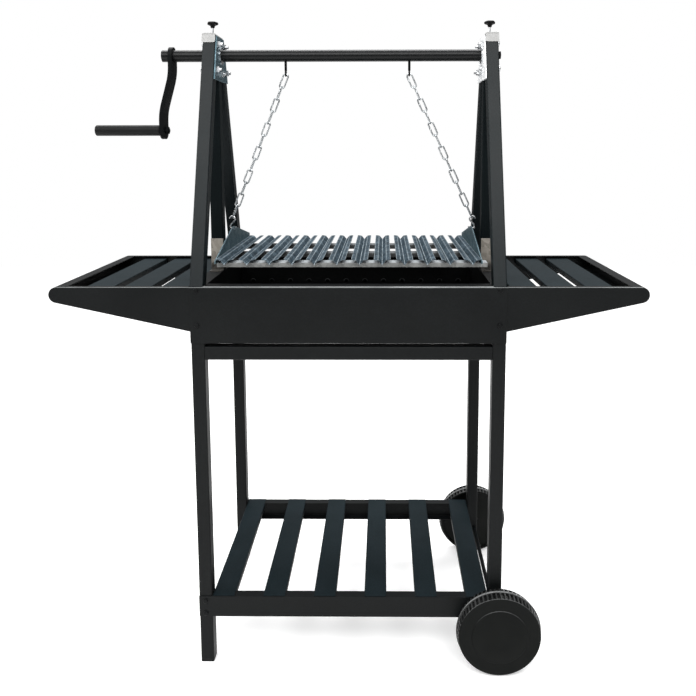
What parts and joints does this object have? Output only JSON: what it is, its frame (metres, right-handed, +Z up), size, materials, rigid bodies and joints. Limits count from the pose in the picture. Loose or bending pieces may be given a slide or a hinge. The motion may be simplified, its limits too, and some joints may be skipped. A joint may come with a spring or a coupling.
{
  "type": "charcoal grill",
  "caption": "Free-standing wheeled charcoal grill with a rectangular firebox, slatted side shelves and a chain-hung V-bar grate raised by a cranked shaft.",
  "frame": {"origin": "on the floor, at mid width and mid depth of the whole grill", "axes": "+X to the right seen from the front (wheel side), +Y to the rear, +Z up"},
  "size_m": [1.312, 0.524, 1.4885],
  "materials": {
    "black_coat": "satin black powder coat on steel tube and sheet",
    "black_plastic": "moulded black plastic",
    "raw_steel": "bare blue-grey sheet steel",
    "grate_steel": "bare mottled grey steel",
    "galvanised": "galvanised sheet",
    "zinc": "bright zinc plate"
  },
  "bodies": {
    "frame": {"axle": "zinc", "axle_spacers": "zinc", "chain_left": "zinc", "chain_right": "zinc", "fascia_bolts": "black_coat", "fascia_front": "black_coat", "fascia_rear": "black_coat", "firebox_tub": "black_coat", "gusset_bolts": "zinc", "gusset_left": "raw_steel", "gusset_right": "raw_steel", "leg_front_left": "black_coat", "leg_front_right": "black_coat", "leg_plugs": "black_plastic", "leg_rear_left": "black_coat", "leg_rear_right": "black_coat", "lower_rail_front": "black_coat", "lower_rail_rear": "black_coat", "lower_shelf_slats": "black_coat", "mid_brackets": "galvanised", "post_front_left": "black_coat", "post_front_right": "black_coat", "post_mid_left": "black_coat", "post_mid_right": "black_coat", "post_rear_left": "black_coat", "post_rear_right": "black_coat", "rail_bolts": "black_coat", "saddle_caps": "galvanised", "shaft_bushes": "zinc", "shelf_end_left": "black_coat", "shelf_end_right": "black_coat", "side_plate_front_left": "black_coat", "side_plate_front_right": "black_coat", "side_plate_rear_left": "black_coat", "side_plate_rear_right": "black_coat", "side_slats_left": "black_coat", "side_slats_right": "black_coat", "upper_rail_front": "black_coat", "upper_rail_rear": "black_coat", "upper_rails_side": "black_coat"},
    "lift": {"s_hooks": "zinc"},
    "grate": {"grate_v_bars": "grate_steel", "grate_cross_bars": "galvanised", "hanger_plates": "grate_steel"},
    "shaft": {"crank_shaft": "black_coat", "crank_arm": "black_coat", "shaft_end_fittings": "zinc", "handle_fasteners": "zinc", "chain_eyes": "zinc"},
    "grip": {"handle_grip": "black_plastic"},
    "wheel_front": {"wheel_front": "black_plastic"},
    "wheel_rear": {"wheel_rear": "black_plastic"},
    "brake_screw_left": {"brake_screw_left": "zinc"},
    "brake_screw_right": {"brake_screw_right": "zinc"},
    "brake_knob_left": {"brake_knob_left": "black_plastic"},
    "brake_knob_right": {"brake_knob_right": "black_plastic"}
  },
  "joints": [
    {"name": "grate_lift", "type": "slide", "parent": "frame", "child": "lift", "axis": [0, 0, 1], "range_m": [0, 0.2513], "deforming": ["chain_left", "chain_right"]},
    {"name": "shaft_turn", "type": "hinge", "parent": "frame", "child": "shaft", "pos_m": [0, 0, 1.4075], "axis": [1, 0, 0], "range_deg": [0, 720]},
    {"name": "grate_tilt", "type": "hinge", "parent": "lift", "child": "grate", "pos_m": [0, 0, 0.988], "axis": [1, 0, 0], "range_deg": [-5, 5]},
    {"name": "handle_spin", "type": "hinge", "parent": "shaft", "child": "grip", "pos_m": [-0.545, 0, 1.23], "axis": [1, 0, 0], "continuous": true},
    {"name": "wheel_front_spin", "type": "hinge", "parent": "frame", "child": "wheel_front", "pos_m": [0.338, -0.242, 0.0965], "axis": [0, 1, 0], "continuous": true},
    {"name": "wheel_rear_spin", "type": "hinge", "parent": "frame", "child": "wheel_rear", "pos_m": [0.338, 0.242, 0.0965], "axis": [0, 1, 0], "continuous": true},
    {"name": "brake_feed_left", "type": "slide", "parent": "frame", "child": "brake_screw_left", "axis": [0, 0, -1], "range_m": [0, 0.0007]},
    {"name": "brake_turn_left", "type": "hinge", "parent": "brake_screw_left", "child": "brake_knob_left", "pos_m": [-0.332, 0, 1.481], "axis": [0, 0, -1], "range_deg": [0, 361]},
    {"name": "brake_feed_right", "type": "slide", "parent": "frame", "child": "brake_screw_right", "axis": [0, 0, -1], "range_m": [0, 0.0007]},
    {"name": "brake_turn_right", "type": "hinge", "parent": "brake_screw_right", "child": "brake_knob_right", "pos_m": [0.332, 0, 1.481], "axis": [0, 0, -1], "range_deg": [0, 361]}
  ],
  "couplings": [
    {"joint": "shaft_turn", "follows": "grate_lift", "rad_per_m": 50},
    {"joint": "brake_turn_left", "follows": "brake_feed_left", "rad_per_m": 8976},
    {"joint": "brake_turn_right", "follows": "brake_feed_right", "rad_per_m": 8976}
  ]
}
